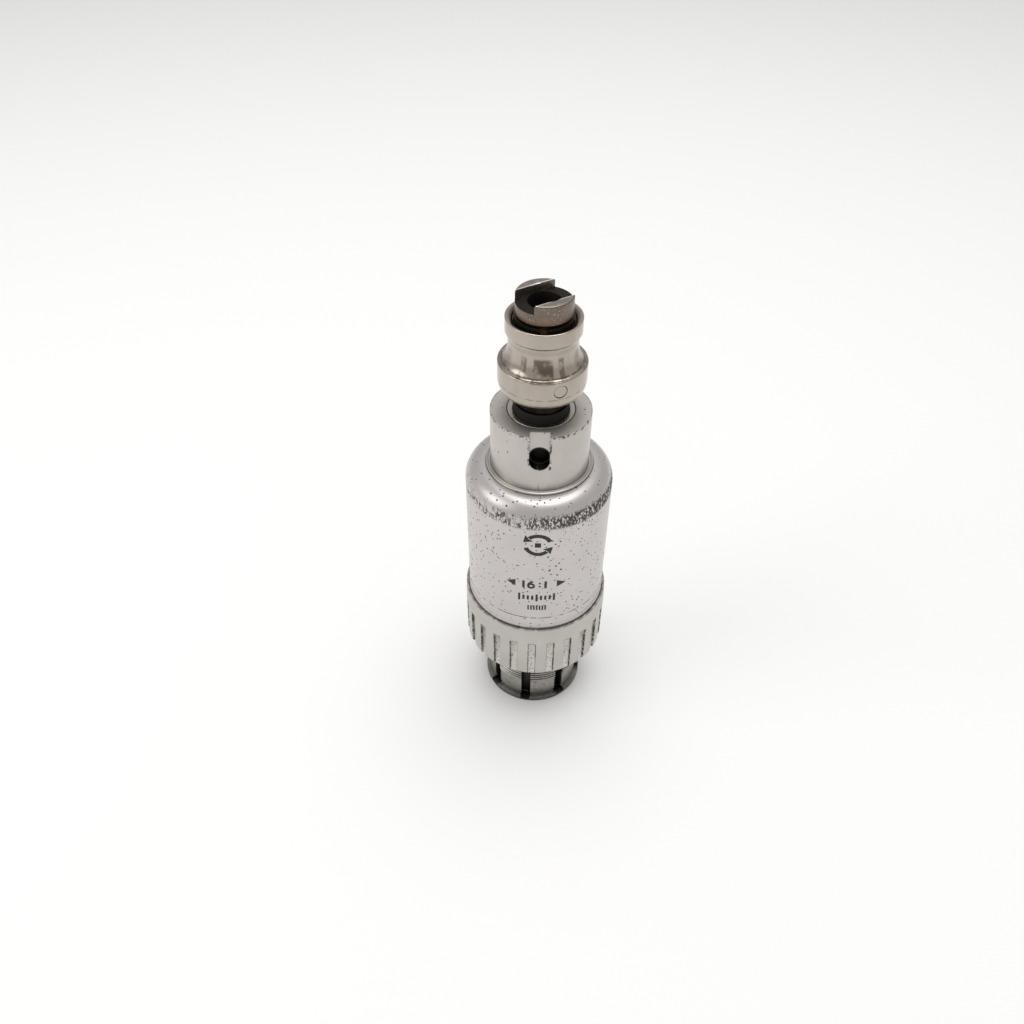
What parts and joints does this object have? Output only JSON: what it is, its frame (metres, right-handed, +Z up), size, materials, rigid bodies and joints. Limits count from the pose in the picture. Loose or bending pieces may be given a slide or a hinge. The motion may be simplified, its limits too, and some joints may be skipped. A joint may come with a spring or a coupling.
{
  "type": "straight planetary reduction drive with quick-release output",
  "caption": "Straight round reducing drive: slotted coupling sleeve with knurled nut, geared cylindrical case, stepped nose and a spring collar on a hollow output shaft.",
  "frame": {"origin": "centre of the base, on the open end of the coupling sleeve", "axes": "+Z up along the common axis towards the output shaft; -Y is the front, where the nose keyway is"},
  "size_m": [0.034, 0.034, 0.1118],
  "materials": {
    "case_steel": "satin nickel-coloured steel",
    "nut_steel": "satin steel, warmer than the case",
    "bright_steel": "polished steel",
    "shaft_steel": "ground steel with a brown heat tint at the tip",
    "black_steel": "dark oxide",
    "gear_steel": "cut gear steel",
    "race_steel": "ground bearing steel",
    "seal_rubber": "black"
  },
  "bodies": {
    "housing": {"case_shell": "case_steel", "coupling_sleeve": "black_steel", "socket_liner": "black_steel", "nose_housing": "case_steel", "nose_lock_ring": "case_steel", "nose_bush": "bright_steel", "wiper_seal": "seal_rubber", "ring_gear": "gear_steel", "gear_thrust_plate": "bright_steel", "bearing_retainer": "bright_steel", "bearing_spacer": "bright_steel", "rear_output_bearing_outer_race": "race_steel", "front_output_bearing_outer_race": "race_steel", "input_bearing_outer_race": "race_steel"},
    "output": {"output_shaft": "shaft_steel", "output_carrier_plate": "bright_steel", "second_planet_pin_1": "bright_steel", "second_planet_pin_2": "bright_steel", "second_planet_pin_3": "bright_steel", "rear_output_bearing_inner_race": "race_steel", "front_output_bearing_inner_race": "race_steel", "shaft_snap_ring": "black_steel", "release_spring": "bright_steel"},
    "first_carrier": {"first_carrier_plate": "bright_steel", "first_planet_pin_1": "bright_steel", "first_planet_pin_2": "bright_steel", "first_planet_pin_3": "bright_steel", "second_sun_gear": "gear_steel"},
    "input": {"input_shaft": "shaft_steel", "input_coupling": "black_steel", "first_sun_gear": "gear_steel", "input_bearing_inner_race": "race_steel"},
    "collar": {"release_collar": "bright_steel", "cross_pin": "bright_steel", "ejector_plunger": "bright_steel"},
    "lock_ball_a": {"lock_ball_1": "race_steel"},
    "lock_ball_b": {"lock_ball_2": "race_steel"},
    "slip_ring": {"nut_slip_ring": "seal_rubber"},
    "nut": {"coupling_nut": "nut_steel"},
    "rear_cage": {"rear_output_bearing_ball_cage": "race_steel"},
    "front_cage": {"front_output_bearing_ball_cage": "race_steel"},
    "input_cage": {"input_bearing_ball_cage": "race_steel"},
    "first_planet_1": {"first_planet_gear_1": "gear_steel"},
    "first_planet_2": {"first_planet_gear_2": "gear_steel"},
    "first_planet_3": {"first_planet_gear_3": "gear_steel"},
    "second_planet_1": {"second_planet_gear_1": "gear_steel"},
    "second_planet_2": {"second_planet_gear_2": "gear_steel"},
    "second_planet_3": {"second_planet_gear_3": "gear_steel"}
  },
  "joints": [
    {"name": "output_spin", "type": "hinge", "parent": "housing", "child": "output", "pos_m": [0, 0, 0], "axis": [0, 0, 1], "continuous": true},
    {"name": "first_carrier_spin", "type": "hinge", "parent": "housing", "child": "first_carrier", "pos_m": [0, 0, 0], "axis": [0, 0, 1], "continuous": true},
    {"name": "input_spin", "type": "hinge", "parent": "housing", "child": "input", "pos_m": [0, 0, 0], "axis": [0, 0, 1], "continuous": true},
    {"name": "first_planet_1_spin", "type": "hinge", "parent": "first_carrier", "child": "first_planet_1", "pos_m": [0.0078, 0, 0.0456], "axis": [0, 0, 1], "continuous": true},
    {"name": "first_planet_2_spin", "type": "hinge", "parent": "first_carrier", "child": "first_planet_2", "pos_m": [-0.0039, 0.00675, 0.0456], "axis": [0, 0, 1], "continuous": true},
    {"name": "first_planet_3_spin", "type": "hinge", "parent": "first_carrier", "child": "first_planet_3", "pos_m": [-0.0039, -0.00675, 0.0456], "axis": [0, 0, 1], "continuous": true},
    {"name": "second_planet_1_spin", "type": "hinge", "parent": "output", "child": "second_planet_1", "pos_m": [0.0078, 0, 0.0561], "axis": [0, 0, 1], "continuous": true},
    {"name": "second_planet_2_spin", "type": "hinge", "parent": "output", "child": "second_planet_2", "pos_m": [-0.0039, 0.00675, 0.0561], "axis": [0, 0, 1], "continuous": true},
    {"name": "second_planet_3_spin", "type": "hinge", "parent": "output", "child": "second_planet_3", "pos_m": [-0.0039, -0.00675, 0.0561], "axis": [0, 0, 1], "continuous": true},
    {"name": "rear_cage_spin", "type": "hinge", "parent": "housing", "child": "rear_cage", "pos_m": [0, 0, 0], "axis": [0, 0, 1], "continuous": true},
    {"name": "front_cage_spin", "type": "hinge", "parent": "housing", "child": "front_cage", "pos_m": [0, 0, 0], "axis": [0, 0, 1], "continuous": true},
    {"name": "input_cage_spin", "type": "hinge", "parent": "housing", "child": "input_cage", "pos_m": [0, 0, 0], "axis": [0, 0, 1], "continuous": true},
    {"name": "collar_slide", "type": "slide", "parent": "output", "child": "collar", "axis": [0, 0, 1], "range_m": [-0.0032, 0], "stiffness_N_per_m": 1500, "springref_m": 0.004, "deforming": ["release_spring"]},
    {"name": "lock_ball_a_slide", "type": "slide", "parent": "output", "child": "lock_ball_a", "axis": [0.9121, 0.4099, 0], "range_m": [0, 0.0006]},
    {"name": "lock_ball_b_slide", "type": "slide", "parent": "output", "child": "lock_ball_b", "axis": [-0.9121, -0.4099, 0], "range_m": [0, 0.0006]},
    {"name": "slip_ring_slide", "type": "slide", "parent": "housing", "child": "slip_ring", "axis": [0, 0, 1], "range_m": [0, 0.003]},
    {"name": "nut_turn", "type": "hinge", "parent": "slip_ring", "child": "nut", "pos_m": [0, 0, 0], "axis": [0, 0, 1], "range_deg": [0, 1350]}
  ],
  "couplings": [
    {"joint": "first_carrier_spin", "follows": "output_spin", "ratio": 4},
    {"joint": "input_spin", "follows": "output_spin", "ratio": 16},
    {"joint": "first_planet_1_spin", "follows": "output_spin", "ratio": -12},
    {"joint": "first_planet_2_spin", "follows": "output_spin", "ratio": -12},
    {"joint": "first_planet_3_spin", "follows": "output_spin", "ratio": -12},
    {"joint": "second_planet_1_spin", "follows": "output_spin", "ratio": -3},
    {"joint": "second_planet_2_spin", "follows": "output_spin", "ratio": -3},
    {"joint": "second_planet_3_spin", "follows": "output_spin", "ratio": -3},
    {"joint": "rear_cage_spin", "follows": "output_spin", "ratio": 0.4341},
    {"joint": "front_cage_spin", "follows": "output_spin", "ratio": 0.4341},
    {"joint": "input_cage_spin", "follows": "output_spin", "ratio": 6.2697},
    {"joint": "lock_ball_a_slide", "follows": "collar_slide", "ratio": -0.1875},
    {"joint": "lock_ball_b_slide", "follows": "collar_slide", "ratio": -0.1875},
    {"joint": "slip_ring_slide", "follows": "nut_turn", "m_per_rad": 0.00012732}
  ]
}
